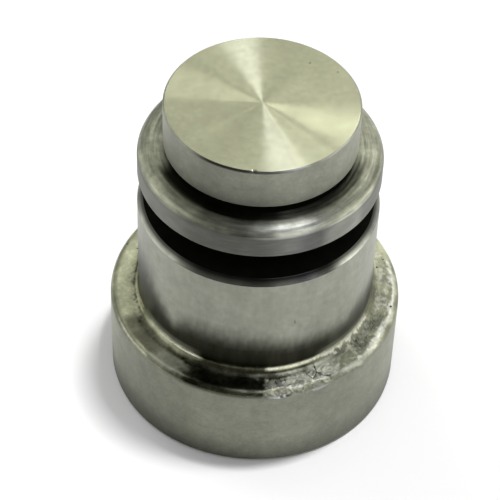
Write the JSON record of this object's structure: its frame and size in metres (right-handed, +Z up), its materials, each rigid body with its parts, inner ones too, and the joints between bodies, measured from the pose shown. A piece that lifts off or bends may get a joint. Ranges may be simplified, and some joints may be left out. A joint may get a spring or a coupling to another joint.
{
  "type": "locating pin",
  "caption": "Turned steel locating pin on a wide worn collar, with a ground barrel, a deep locking groove, a narrow land and a smaller flat head.",
  "frame": {"origin": "centre of the base face, on the surface that the pin stands on", "axes": "+Z up the pin's axis from the collar to the head; +X and +Y lie in the base face, and the worst of the rim's dents is on the -Y side"},
  "size_m": [0.031, 0.031, 0.0374],
  "materials": {
    "turned_steel": "bare turned and ground steel: face-turned head, ground barrel, dark recesses, beaten and burnished collar rim"
  },
  "bodies": {
    "root": {"pin_body": "turned_steel"}
  },
  "joints": []
}
